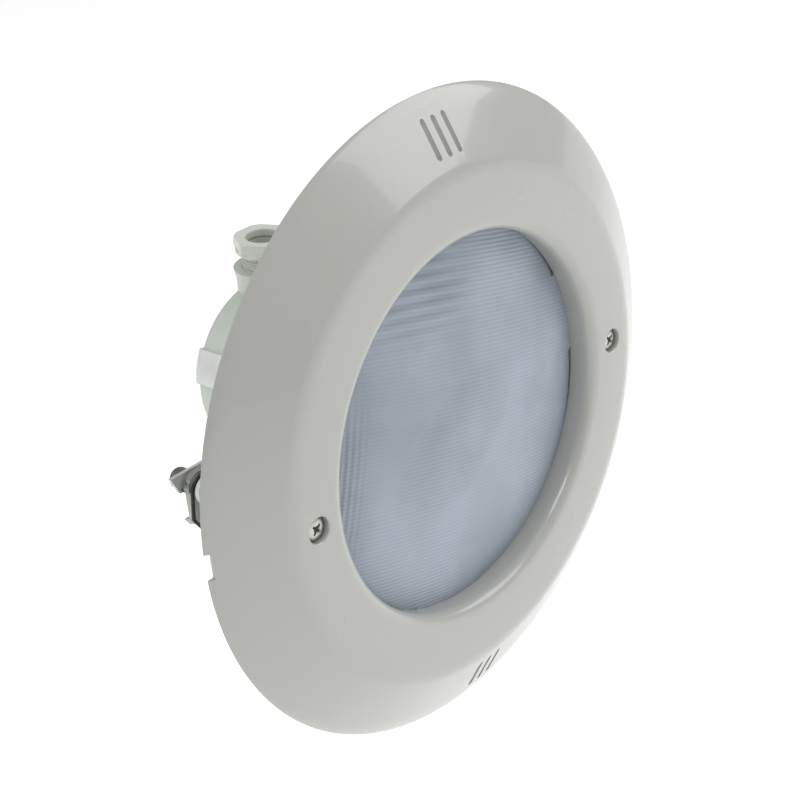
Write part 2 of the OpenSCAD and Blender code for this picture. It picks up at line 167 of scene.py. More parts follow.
def bar(radius: float, front: float, back: float, segments: int = 48) -> bmesh.types.BMesh:
    """A round bar along Y between two depths."""
    bm = bmesh.new()
    bmesh.ops.create_cone(
        bm, cap_ends=True, segments=segments, radius1=radius, radius2=radius, depth=back - front
    )
    bmesh.ops.rotate(bm, verts=bm.verts[:], matrix=Matrix.Rotation(-math.pi / 2, 3, "X"))
    bmesh.ops.translate(bm, verts=bm.verts[:], vec=(0, (front + back) / 2, 0))
    return bm


def block(low: Sequence[float], high: Sequence[float]) -> bmesh.types.BMesh:
    """A box between two corners."""
    bm = bmesh.new()
    bmesh.ops.create_cube(bm, size=1)
    bmesh.ops.scale(bm, verts=bm.verts[:], vec=[b - a for a, b in zip(low, high)])
    bmesh.ops.translate(bm, verts=bm.verts[:], vec=[(a + b) / 2 for a, b in zip(low, high)])
    return bm


def plate(outline: Sequence[Point], front: float, back: float) -> bmesh.types.BMesh:
    """A flat plate with an outline of (x, z) points, between two depths."""
    bm = bmesh.new()
    face = bm.faces.new([bm.verts.new((x, front, z)) for x, z in outline])
    grown = bmesh.ops.extrude_face_region(bm, geom=[face])["geom"]
    moved = [g for g in grown if isinstance(g, bmesh.types.BMVert)]
    bmesh.ops.translate(bm, verts=moved, vec=(0, back - front, 0))
    return sealed(bm)


def soften(bm: bmesh.types.BMesh, width: float, segments: int = 2, angle: float = 30) -> None:
    """Rounds every edge sharper than an angle.

    Args:
        bm: the solid.
        width: the rounding's width.
        segments: its segments.
        angle: the least angle between two faces that is rounded, in degrees.
    """
    limit = math.radians(angle)
    edges = [e for e in bm.edges if e.is_manifold and e.calc_face_angle() > limit]
    bmesh.ops.bevel(
        bm, geom=edges, offset=width, offset_type="OFFSET", segments=segments, profile=0.5,
        affect="EDGES", clamp_overlap=True, material=-1,
    )


def joined(parts: Iterable[bmesh.types.BMesh]) -> bmesh.types.BMesh:
    """One bmesh that holds several separate solids."""
    whole = bmesh.new()
    for part in parts:
        mesh = bpy.data.meshes.new("part")
        part.to_mesh(mesh)
        part.free()
        whole.from_mesh(mesh)
        bpy.data.meshes.remove(mesh)
    return whole


def moved(bm: bmesh.types.BMesh, place: Matrix) -> bmesh.types.BMesh:
    """The same solid, put in its place."""
    bmesh.ops.transform(bm, matrix=place, verts=bm.verts[:])
    return bm


def thread(core_r: float, outer_r: float, pitch: float, front: float, back: float) -> bmesh.types.BMesh:
    """A V thread along the Y axis, as one helical ridge with closed ends.

    Args:
        core_r: radius at the root.
        outer_r: radius at the crest.
        pitch: distance from ridge to ridge.
        front: depth where it starts.
        back: depth where it ends.

    Returns:
        The ridge, which sinks a little into its core.
    """
    bm = bmesh.new()
    half, crest, root = pitch * 0.46, pitch * 0.08, core_r - 0.15
    section = [(root, -half), (outer_r, -crest), (outer_r, crest), (root, half)]
    face = bm.faces.new([bm.verts.new((r, front + half + y, 0)) for r, y in section])
    turns = (back - front - 2 * half) / pitch
    steps = max(1, round(turns * 24))
    bmesh.ops.spin(
        bm, geom=[face], cent=(0, 0, 0), axis=(0, 1, 0), dvec=(0, turns * pitch / steps, 0),
        angle=turns * FULL_TURN, steps=steps,
    )
    return sealed(bm)


class Workpiece:
    """A piece being shaped in millimetres, which ends as one object of the model."""

    def __init__(self, name: str, bm: bmesh.types.BMesh) -> None:
        """Starts a piece from a solid."""
        mesh = bpy.data.meshes.new(name)
        bm.to_mesh(mesh)
        bm.free()
        self.thing = bpy.data.objects.new(name, mesh)
        bpy.context.scene.collection.objects.link(self.thing)

    def work(self, tool: bmesh.types.BMesh, cut: Cut) -> Workpiece:
        """Adds a tool's solid to the piece or removes it.

        Args:
            tool: the solid.
            cut: whether it is added or removed.

        Returns:
            The same workpiece.
        """
        other = Workpiece("tool", tool).thing
        step = self.thing.modifiers.new("cut", "BOOLEAN")
        step.object = other
        step.operation = cut.value
        step.solver = "EXACT"
        self.apply()
        bpy.data.objects.remove(other)
        return self

    def apply(self) -> Workpiece:
        """Turns the piece's modifiers into its mesh."""
        graph = bpy.context.evaluated_depsgraph_get()
        mesh = bpy.data.meshes.new_from_object(self.thing.evaluated_get(graph))
        self.thing.modifiers.clear()
        self.thing.data = mesh
        return self

    def shape(self, change: Callable[[bmesh.types.BMesh], object]) -> Workpiece:
        """Runs a change on the piece's own mesh."""
        bm = bmesh.new()
        bm.from_mesh(self.thing.data)
        change(bm)
        bm.to_mesh(self.thing.data)
        bm.free()
        return self

    def add(self, solid: bmesh.types.BMesh) -> Workpiece:
        """Puts another closed solid into the same piece."""
        mesh = bpy.data.meshes.new("solid")
        solid.to_mesh(mesh)
        solid.free()
        self.shape(lambda bm: bm.from_mesh(mesh))
        bpy.data.meshes.remove(mesh)
        return self

    def put(self, place: Matrix) -> Workpiece:
        """Moves the piece to its place."""
        self.thing.data.transform(place)
        return self

    def taken(self) -> bmesh.types.BMesh:
        """Ends this workpiece and hands over its solid."""
        bm = bmesh.new()
        bm.from_mesh(self.thing.data)
        bpy.data.objects.remove(self.thing)
        return bm

    def finished(
        self, finish: Finish, body: str, slot: str, nodes: Sequence[str] = (), sharp: float = 32
    ) -> bpy.types.Object:
        """Ends the work: metres, smooth shading, material and body.

        Args:
            finish: what it is made of.
            body: the frame's body that it rides on.
            slot: the record's material slot; not used.
            nodes: the frame's nodes that it stands for.
            sharp: edges above this angle stay sharp, in degrees.

        Returns:
            The finished object.
        """
        mesh = self.thing.data
        mesh.transform(Matrix.Scale(MM, 4))
        mesh.shade_smooth()
        mesh.set_sharp_from_angle(angle=math.radians(sharp))
        mesh.materials.clear()
        mesh.materials.append(finish.material())
        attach(self.thing, body)
        if nodes:
            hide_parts(*nodes)
        LOG.info("%s: %d faces on %s", self.thing.name, len(mesh.polygons), body)
        return self.thing


# ---------------------------------------------------------------- finishes


class Sheet:
    """The node tree of one material, with short ways to add what the finishes need."""

    def __init__(self, name: str) -> None:
        """Makes an empty material with its main shader."""
        self.material = bpy.data.materials.new(name)
        self.material.use_nodes = True
        self.tree = self.material.node_tree
        self.shader = self.tree.nodes["Principled BSDF"]
        self.place = self.tree.nodes.new("ShaderNodeTexCoord").outputs["Object"]

    def set(self, **values: float | Colour) -> None:
        """Sets the main shader's sockets; underscores stand for spaces."""
        for name, value in values.items():
            socket = self.shader.inputs[name.replace("_", " ")]
            socket.default_value = (*value, 1) if isinstance(value, tuple) else value

    def mapped(self, turn: Vector = Vector(), scale: Sequence[float] = (1, 1, 1)) -> Socket:
        """The object's coordinates, turned (radians) and stretched."""
        node = self.tree.nodes.new("ShaderNodeMapping")
        node.inputs["Rotation"].default_value = turn
        node.inputs["Scale"].default_value = scale
        self.tree.links.new(self.place, node.inputs["Vector"])
        return node.outputs["Vector"]

    def noise(self, scale: float, detail: float = 3, source: Socket | None = None) -> Socket:
        """A noise pattern from 0 to 1; scale is its features to the metre."""
        node = self.tree.nodes.new("ShaderNodeTexNoise")
        node.inputs["Scale"].default_value = scale
        node.inputs["Detail"].default_value = detail
        self.tree.links.new(source or self.place, node.inputs["Vector"])
        return node.outputs["Fac"]

    def ramp(self, source: Socket, low: float, high: float, span: Point = (0.3, 0.7)) -> Socket:
        """Maps part of a pattern's span onto low to high."""
        node = self.tree.nodes.new("ShaderNodeMapRange")
        for name, value in zip(("From Min", "From Max", "To Min", "To Max"), (*span, low, high)):
            node.inputs[name].default_value = value
        self.tree.links.new(source, node.inputs["Value"])
        return node.outputs["Result"]

    def blend(self, share: Socket, first: Colour, second: Colour) -> Socket:
        """A colour between two, by a pattern."""
        node = self.tree.nodes.new("ShaderNodeMix")
        node.data_type = "RGBA"
        node.inputs["A"].default_value = (*first, 1)
        node.inputs["B"].default_value = (*second, 1)
        self.tree.links.new(share, node.inputs["Factor"])
        return node.outputs["Result"]

    def math(self, how: str, first: Socket, second: Socket | float) -> Socket:
        """One sum on two values."""
        node = self.tree.nodes.new("ShaderNodeMath")
        node.operation = how
        self.tree.links.new(first, node.inputs[0])
        if isinstance(second, (int, float)):
            node.inputs[1].default_value = second
        else:
            self.tree.links.new(second, node.inputs[1])
        return node.outputs[0]

    def feed(self, name: str, source: Socket) -> None:
        """Links a pattern to one of the main shader's sockets."""
        self.tree.links.new(source, self.shader.inputs[name])

    def bump(self, height: Socket, depth: float, strength: float = 1.0) -> None:
        """Raises the surface by a pattern, depth metres high."""
        node = self.tree.nodes.new("ShaderNodeBump")
        node.inputs["Strength"].default_value = strength
        node.inputs["Distance"].default_value = depth
        self.tree.links.new(height, node.inputs["Height"])
        last = self.shader.inputs["Normal"].links
        if last:
            self.tree.links.new(last[0].from_socket, node.inputs["Normal"])
        self.tree.links.new(node.outputs["Normal"], self.shader.inputs["Normal"])


def shade(colour: Colour, by: float) -> Colour:
    """A colour made lighter or darker by a factor."""
    return tuple(min(1.0, part * by) for part in colour)


@dataclass(frozen=True)
class Finish(ABC):
    """What a surface is made of. One material is made for each finish."""

    name: str
    colour: Colour
    roughness: float

    def material(self) -> bpy.types.Material:
        """This finish's material, made on first use."""
        title = f"{self.name}_finish"
        made = bpy.data.materials.get(title)
        if made:
            return made
        sheet = Sheet(title)
        sheet.set(Base_Color=self.colour, Roughness=self.roughness)
        self.dress(sheet)
        return sheet.material

    @abstractmethod
    def dress(self, sheet: Sheet) -> None:
        """Adds the finish's own detail to its material."""


@dataclass(frozen=True)
class MouldedPlastic(Finish):
    """Glossy moulded plastic: faint flow clouds, orange peel and handling haze."""

    coat: float = 0.5
    peel: float = 0.000005

    def dress(self, sheet: Sheet) -> None:
        """Clouds in the colour, haze in the gloss and a fine peel in the surface."""
        clouds = sheet.ramp(sheet.noise(9, 0), 0, 1, (0, 1))
        sheet.feed("Base Color", sheet.blend(clouds, shade(self.colour, 0.97), shade(self.colour, 1.02)))
        haze = sheet.noise(25, 1)
        sheet.feed("Roughness", sheet.ramp(haze, self.roughness - 0.03, self.roughness + 0.04, (0, 1)))
        sheet.set(Coat_Weight=self.coat, Coat_Roughness=0.06, IOR=1.5, Specular_IOR_Level=0.5)
        sheet.bump(sheet.noise(260, 1), self.peel)


@dataclass(frozen=True)
class Metal(Finish):
    """Metal with a grain: turned about Y, rolled along X or tumbled."""

    metallic: float = 1.0
    stretch: tuple[float, float, float] = (1, 1, 1)
    grain: float = 900
    depth: float = 0.00001
    stain: float = 0.86

    def dress(self, sheet: Sheet) -> None:
        """A stretched grain in the gloss and surface, and soft stains in the colour."""
        sheet.set(Metallic=self.metallic)
        lines = sheet.noise(self.grain, 4, sheet.mapped(scale=self.stretch))
        stains = sheet.ramp(sheet.noise(90, 4), 0, 1, (0.35, 0.65))
        dark, light = shade(self.colour, self.stain), shade(self.colour, 1.04)
        sheet.feed("Base Color", sheet.blend(stains, dark, light))
        sheet.feed("Roughness", sheet.ramp(lines, self.roughness - 0.07, self.roughness + 0.12))
        sheet.bump(lines, self.depth)


@dataclass(frozen=True)
class Rubber(Finish):
    """Matt rubber with a fine bloom."""

    def dress(self, sheet: Sheet) -> None:
        """Bloom in the colour and a fine tooth in the surface."""
        bloom = sheet.ramp(sheet.noise(220, 5), 0, 1, (0.4, 0.75))
        sheet.feed("Base Color", sheet.blend(bloom, self.colour, shade(self.colour, 1.9)))
        sheet.feed("Roughness", sheet.ramp(sheet.noise(700, 3), self.roughness - 0.1, self.roughness + 0.1))
        sheet.bump(sheet.noise(1800, 3), 0.00003)


@dataclass(frozen=True)
class PressedGlass(Finish):
    """Frosted lamp glass: fine flutes one way, broad prisms the other, a cloudy tone and a painted shadow in
    the middle.
    """

    turn: float = math.radians(14)
    fine_pitch: float = 1.75 * MM
    broad_pitch: float = 3.2 * MM
    deep_pitch: float = 5.4 * MM
    patch_turn: float = math.radians(35)
    patch_middle: Point = (-0.012, 0.0)
    patch_reach: Point = (0.050, 0.024)

    def waves(self, sheet: Sheet, source: Socket, pitch: float) -> Socket:
        """A wave of a pitch along one coordinate, from 0 to 1."""
        phase = sheet.math("MULTIPLY", source, FULL_TURN / pitch)
        return sheet.ramp(sheet.math("SINE", phase, 0.0), 0, 1, (-1, 1))

    def shadow(self, sheet: Sheet) -> Socket:
        """The painted shadow: a darker patch in the lens's middle, a soft ellipse that leans to the right."""
        lean = sheet.mapped(turn=Vector((0, self.patch_turn, 0)))
        split = sheet.tree.nodes.new("ShaderNodeSeparateXYZ")
        sheet.tree.links.new(lean, split.inputs[0])
        total = None
        for axis, middle, reach in zip("XZ", self.patch_middle, self.patch_reach):
            off = sheet.math("MULTIPLY", sheet.math("SUBTRACT", split.outputs[axis], middle), 1 / reach)
            square = sheet.math("MULTIPLY", off, off)
            total = square if total is None else sheet.math("ADD", total, square)
        return sheet.ramp(total, 0.42, 0, (0, 1))

    def dress(self, sheet: Sheet) -> None:
        """Adds the pressed patterns to the colour and surface."""
        sheet.set(Transmission_Weight=0.06, IOR=1.47, Specular_IOR_Level=0.4)
        place = sheet.mapped(turn=Vector((0, -self.turn, 0)))
        split = sheet.tree.nodes.new("ShaderNodeSeparateXYZ")
        sheet.tree.links.new(place, split.inputs[0])
        along, up = split.outputs["X"], split.outputs["Z"]
        bent = sheet.math("ADD", up, sheet.math("MULTIPLY", sheet.math("MULTIPLY", along, along), 0.9))
        fine = self.waves(sheet, up, self.fine_pitch)
        broad = self.waves(sheet, along, self.broad_pitch)
        deep = self.waves(sheet, bent, self.deep_pitch)
        uneven = sheet.ramp(sheet.noise(17, 1), 0.25, 1, (0.35, 0.6))
        fine = sheet.math("MULTIPLY", fine, uneven)
        beside = sheet.ramp(along, 1, 0, (-0.028, 0.004))
        above = sheet.ramp(up, 0, 1, (0.034, 0.056))
        high_left = sheet.math("MULTIPLY", beside, above)
        edge = sheet.ramp(along, 1, 0, (-0.073, -0.056))
        below = sheet.ramp(up, 1, 0, (-0.005, 0.03))
        low_left = sheet.math("MULTIPLY", edge, below)
        large = sheet.ramp(sheet.noise(11, 2), -0.5, 0.5)
        small = sheet.ramp(sheet.noise(34, 2), -0.15, 0.15)
        cloud = sheet.math("ADD", large, small)
        tone = sheet.math("ADD", cloud, 0.85)
        tone = sheet.math("SUBTRACT", tone, sheet.math("MULTIPLY", fine, 0.28))
        # painted shade: the lens's colour is darkened in a soft ellipse in its middle
        tone = sheet.math("SUBTRACT", tone, self.shadow(sheet))
        prisms = sheet.math("MULTIPLY", deep, high_left)
        tone = sheet.math("SUBTRACT", tone, sheet.math("MULTIPLY", prisms, 0.55))
        ridges = sheet.math("MULTIPLY", broad, low_left)
        tone = sheet.math("SUBTRACT", tone, sheet.math("MULTIPLY", ridges, 0.5))
        sheet.feed("Base Color", sheet.blend(tone, shade(self.colour, 0.62), shade(self.colour, 1.18)))
        sheet.feed("Roughness", sheet.ramp(sheet.noise(30, 3), self.roughness - 0.05, self.roughness + 0.1))
        sheet.bump(fine, 0.00012)
        sheet.bump(ridges, 0.0003)


@dataclass(frozen=True)
class Mirror(Finish):
    """The vacuum-coated inside of the lamp's reflector."""

    def dress(self, sheet: Sheet) -> None:
        """A bright coat with pressing waves."""
        sheet.set(Metallic=1.0)
        sheet.feed("Roughness", sheet.ramp(sheet.noise(50, 4), self.roughness - 0.05, self.roughness + 0.1))
        clouds = sheet.ramp(sheet.noise(18, 3), 0, 1)
        sheet.feed("Base Color", sheet.blend(clouds, shade(self.colour, 0.9), self.colour))
        sheet.bump(sheet.noise(70, 2), 0.0003)


@dataclass(frozen=True)
class Ceramic(Finish):
    """Unglazed steatite with a fine speckle."""

    def dress(self, sheet: Sheet) -> None:
        """Speckle in the colour and a dry tooth."""
        specks = sheet.ramp(sheet.noise(900, 2), 0, 1, (0.55, 0.7))
        sheet.feed("Base Color", sheet.blend(specks, self.colour, shade(self.colour, 0.8)))
        sheet.feed("Roughness", sheet.ramp(sheet.noise(300, 3), self.roughness - 0.08, self.roughness + 0.08))
        sheet.bump(sheet.noise(1200, 3), 0.00004)


RING_WHITE = MouldedPlastic("ring_white", (0.41, 0.415, 0.387), 0.26)
HOUSING_WHITE = MouldedPlastic("housing_white", (0.54, 0.59, 0.53), 0.38, coat=0.1, peel=0.00001)
NYLON_WHITE = MouldedPlastic("nylon_white", (0.60, 0.65, 0.59), 0.45, coat=0.0)
NYLON_BLACK = MouldedPlastic("nylon_black", (0.012, 0.012, 0.012), 0.42, coat=0.0)
GLAND_WHITE = MouldedPlastic("gland_white", (0.58, 0.61, 0.56), 0.34, coat=0.15, peel=0.00001)
LENS_GLASS = PressedGlass("lens_glass", (0.33, 0.375, 0.435), 0.46)
LAMP_SILVER = Mirror("lamp_silver", (0.78, 0.81, 0.86), 0.16)
TURNED_STEEL = Metal("turned_steel", (0.50, 0.49, 0.46), 0.30, stretch=(0.2, 4, 0.2))
ROLLED_STEEL = Metal(
    "rolled_steel", (0.70, 0.72, 0.70), 0.42, metallic=0.4, stretch=(0.06, 1, 1), depth=0.000006, stain=0.93
)
BLANKED_STEEL = Metal("blanked_steel", (0.45, 0.46, 0.43), 0.40, stretch=(1, 1, 0.08), stain=0.75)
ZINC_PLATE = Metal("zinc_plate", (0.62, 0.635, 0.63), 0.45, metallic=0.3, stain=0.9)
# painted shade: near-black metal that stands in for the shadow at the bottom of the cross recess
RECESS_PAINTED_SHADE = Metal("recess_painted_shade", (0.03, 0.028, 0.025), 0.7, metallic=0.2)
DULL_STEEL = Metal("dull_steel", (0.20, 0.20, 0.175), 0.48, grain=500, stain=0.7)
BRASS = Metal("brass", (0.55, 0.38, 0.14), 0.30, stretch=(0.2, 4, 0.2), stain=0.8)
NICKEL_WIRE = Metal("nickel_wire", (0.45, 0.43, 0.40), 0.3, stretch=(1, 0.1, 1))
TUNGSTEN = Metal("tungsten", (0.10, 0.095, 0.09), 0.45, grain=1500)
GREY_SILICONE = Rubber("grey_silicone", (0.42, 0.43, 0.42), 0.6)
BLACK_RUBBER = Rubber("black_rubber", (0.010, 0.010, 0.012), 0.62)
STEATITE = Ceramic("steatite", (0.68, 0.64, 0.55), 0.7)


# ---------------------------------------------------------------- face ring


@dataclass
class FaceRing:
    """The moulded ring that is seen on the pool wall."""

    radius: float = 140
    crease_r: float = 110.8
    height: float = 18
    window_r: float = 82.4
    skin: float = 3
    rib_count: int = 24
    vent_w: float = 2.6
    vent_pitch: float = 6.2
    vent_span: Point = (118, 131)
    notch_w: float = 11
    notch_depth: float = 2.2
    boss_r: float = 7
    recess_r: float = 5.4
    recess_y: float = -13.2
    bore_r: float = 3.3
    wall_end_y: float = -4.6
    flange_y: float = -4.5

    def outline(self) -> list[Point]:
        """The ring's section, from the rim's edge over the front and back behind the skin."""
        top = -self.height
        crease = (self.crease_r, top + 0.4)
        flank = (self.radius - 9, -6.45)
        over = [(self.radius, 0.0), (self.radius, -0.25)]
        over += bend((self.radius, -0.25), (self.radius - 1.2, -2.15), flank, 12)
        over += bend((crease[0] + 3.2, crease[1] + 1.77), crease, (crease[0] - 4, top + 0.16), 8)
        over += [(96, top - 0.02), (88.6, top)]
        over += bend((88.6, top), (self.window_r, top), (self.window_r, -12.4), 14)
        over += [(82.8, -8.5), (83.15, self.wall_end_y - 0.3), (83.5, self.wall_end_y)]
        inside = top + self.skin
        under = [(86.2, self.wall_end_y), (86.2, inside + 2)]
        under += bend((86.2, inside + 2), (86.2, inside), (88.2, inside), 4)
        under += [(self.crease_r - 2, inside), (self.radius - 10.5, -3.8)]
        under += [(self.radius - 5.5, -1.2), (self.radius - 5, 0.0)]
        return over + under

    def ribs(self) -> bmesh.types.BMesh:
        """The stiffening ribs in the hollow behind the flank."""
        side = [(107, -15.6), (self.radius - 10.2, -4.4), (self.radius - 10.2, -1.2), (107, -9)]
        blades = []
        for i in range(self.rib_count):
            turn = Matrix.Rotation((i + 0.5) * FULL_TURN / self.rib_count, 4, "Y")
            blade = bmesh.new()
            face = blade.faces.new([blade.verts.new((-1, y, r)) for r, y in side])
            grown = bmesh.ops.extrude_face_region(blade, geom=[face])["geom"]
            tips = [g for g in grown if isinstance(g, bmesh.types.BMVert)]
            bmesh.ops.translate(blade, verts=tips, vec=(2, 0, 0))
            blades.append(moved(sealed(blade), turn))
        return joined(blades)

    def vents(self) -> bmesh.types.BMesh:
        """The cutters of the three vent slots at the top and three at the bottom."""
        half = self.vent_w / 2
        slots = []
        for turn in (0, math.pi):
            for i in (-1, 0, 1):
                low = (i * self.vent_pitch - half, -self.height, self.vent_span[0] - half)
                high = (i * self.vent_pitch + half, 1, self.vent_span[1] + half)
                slot = block(low, high)
                upright = [e for e in slot.edges if abs(e.verts[0].co.y - e.verts[1].co.y) > 1]
                bmesh.ops.bevel(
                    slot, geom=upright, offset=half * 0.98, segments=6, profile=0.5,
                    affect="EDGES", material=-1,
                )
                slots.append(moved(slot, Matrix.Rotation(turn, 4, "Y")))
        return joined(slots)

    def screw_cuts(self) -> bmesh.types.BMesh:
        """The cutters of the two screw recesses and their bores."""
        cuts = []
        for side in Side:
            place = side.place()
            top = -self.height - 2
            recess = [(0, top), (self.recess_r + 0.5, top), (self.recess_r + 0.5, -self.height - 0.1)]
            recess += [(self.recess_r, -self.height + 0.5), (self.recess_r, self.recess_y)]
            recess += [(self.bore_r, self.recess_y), (self.bore_r, 1), (0, 1)]
            cuts.append(moved(lathe(recess, 48, closed=False), place))
        return joined(cuts)

    def notches(self) -> bmesh.types.BMesh:
        """The cutters of the notch in the rim's back edge beside each screw."""
        reach = self.radius - 3
        cuts = []
        for sign in (-1, 1):
            low = (min(sign * reach, sign * (self.radius + 2)), -self.notch_depth, -self.notch_w / 2)
            high = (max(sign * reach, sign * (self.radius + 2)), 1, self.notch_w / 2)
            cut = block(low, high)
            soften(cut, 0.5)
            cuts.append(cut)
        return joined(cuts)

    def bosses(self) -> bmesh.types.BMesh:
        """The bosses behind the screw recesses."""
        inside = -self.height + self.skin - 0.4
        return joined(moved(bar(self.boss_r, inside, self.flange_y), s.place()) for s in Side)

    def build(self) -> bpy.types.Object:
        """Makes the ring."""
        ring = Workpiece("face_ring_moulding", lathe(self.outline(), 288))
        ring.work(self.bosses(), Cut.ADD).work(self.ribs(), Cut.ADD)
        ring.work(self.vents(), Cut.REMOVE).work(self.screw_cuts(), Cut.REMOVE)
        ring.work(self.notches(), Cut.REMOVE)
        return ring.finished(RING_WHITE, "light_body", "ring_plastic", ["face_ring"])


# ---------------------------------------------------------------- lamp


@dataclass
class Lamp:
    """The sealed-beam lamp: fluted lens, silvered reflector and filament."""

    rim_r: float = 88.4
    dome_r: float = 83.1
    tuck: float = 1.5
    edge_y: float = -5
    bulge: float = 8
    rim_front_y: float = -2.6
    rim_back_y: float = 0.35
    glass: float = 2.2
    flute_pitch: float = 1.75
    flute_depth: float = 0.22
    flute_samples: int = 6
    flute_turn: float = math.radians(14)
    mirror_r: float = 84.8
    mirror_rim_y: float = 2.1
    mirror_in_r: float = 82
    mirror_front_y: float = 0.5
    mirror_t: float = 3
    apex_y: float = 68
    focus_y: float = 39
    coil_length: float = 12.6
    coil_r: float = 1.75
    wire_r: float = 0.3
    coil_turns: int = 12

    def front(self, radius: float) -> float:
        """The lens's outer surface: a low dome inside a flat rim."""
        if radius > self.dome_r + self.tuck:
            return self.rim_front_y
        return self.edge_y - self.bulge * (1 - (radius / self.dome_r) ** 2)

    def back(self, across: float, radius: float) -> float:
        """The lens's inner surface, pressed into straight flutes."""
        if radius > self.dome_r - self.glass:
            return self.rim_back_y
        smooth = self.front(radius) + self.glass
        flute = abs(math.cos(math.pi * across / self.flute_pitch))
        return smooth + self.flute_depth * flute

    def lens(self) -> bpy.types.Object:
        """Makes the lens from a grid that is fine across the flutes and coarse along them."""
        bm = bmesh.new()
        columns = round(2 * self.rim_r / self.flute_pitch) * self.flute_samples
        bmesh.ops.create_grid(bm, x_segments=columns, y_segments=44, size=1)
        turn = Matrix.Rotation(-self.flute_turn, 3, "Y")

        def seat(vert: bmesh.types.BMVert, across: float, along: float, depth: float) -> None:
            """Puts a point of the disc at its depth and turns it with the flutes."""
            vert.co = turn @ Vector((along, depth, across))

        places = {}
        for vert in bm.verts:
            across = vert.co.x * self.rim_r
            along = vert.co.y * math.sqrt(max(0.0, self.rim_r**2 - across**2))
            places[vert] = (across, along)
        grown = bmesh.ops.extrude_face_region(bm, geom=bm.faces[:], use_keep_orig=True)["geom"]
        tops = [g for g in grown if isinstance(g, bmesh.types.BMVert)]
        for vert in tops:
            across = vert.co.x * self.rim_r
            along = vert.co.y * math.sqrt(max(0.0, self.rim_r**2 - across**2))
            seat(vert, across, along, self.front(math.hypot(across, along)))
        for vert, (across, along) in places.items():
            seat(vert, across, along, self.back(across, math.hypot(across, along)))
        lens = Workpiece("fluted_lens", sealed(bm))
        return lens.finished(LENS_GLASS, "light_body", "lens_glass", ["lamp_lens"], sharp=40)

    def bowl(self) -> bpy.types.Object:
        """Makes the reflector: a parabola with a rim, coated inside."""
        steps = 40
        outer = []
        inner = []
        inner_apex = self.apex_y - self.mirror_t
        for i in range(steps + 1):
            share = 1 - i / steps
            behind = self.apex_y - (self.apex_y - self.mirror_rim_y) * share**2
            outer.append((self.mirror_r * share, behind))
            before = inner_apex - (inner_apex - self.mirror_front_y) * share**2
            inner.append((self.mirror_in_r * share, before))
        rim = [(self.rim_r, self.mirror_front_y), (self.rim_r, self.mirror_rim_y)]
        section = inner[::-1] + rim + outer
        shell = Workpiece("silvered_reflector", lathe(section, 160, closed=False))
        return shell.finished(LAMP_SILVER, "light_body", "mirror_glass", ["lamp_reflector"], sharp=40)

    def filament(self) -> bpy.types.Object:
        """Makes the filament, a helix of wire along X at the reflector's focus."""
        bm = bmesh.new()
        bmesh.ops.create_circle(bm, cap_ends=True, radius=self.wire_r, segments=8)
        bmesh.ops.rotate(bm, verts=bm.verts[:], matrix=Matrix.Rotation(math.pi / 2, 3, "X"))
        bmesh.ops.translate(bm, verts=bm.verts[:], vec=(-self.coil_length / 2, 0, self.coil_r))
        steps = self.coil_turns * 20
        bmesh.ops.spin(
            bm, geom=bm.verts[:] + bm.edges[:] + bm.faces[:], cent=(0, 0, 0), axis=(1, 0, 0),
            dvec=(self.coil_length / steps, 0, 0), angle=self.coil_turns * FULL_TURN, steps=steps,
        )
        bmesh.ops.translate(bm, verts=bm.verts[:], vec=(0, self.focus_y, 0))
        wire = Workpiece("filament_coil", sealed(bm))
        return wire.finished(TUNGSTEN, "light_body", "tungsten", ["lamp_filament"])

    def build(self) -> list[bpy.types.Object]:
        """Makes the lamp's pieces."""
        return [self.lens(), self.bowl(), self.filament()]


# ---------------------------------------------------------------- clamps


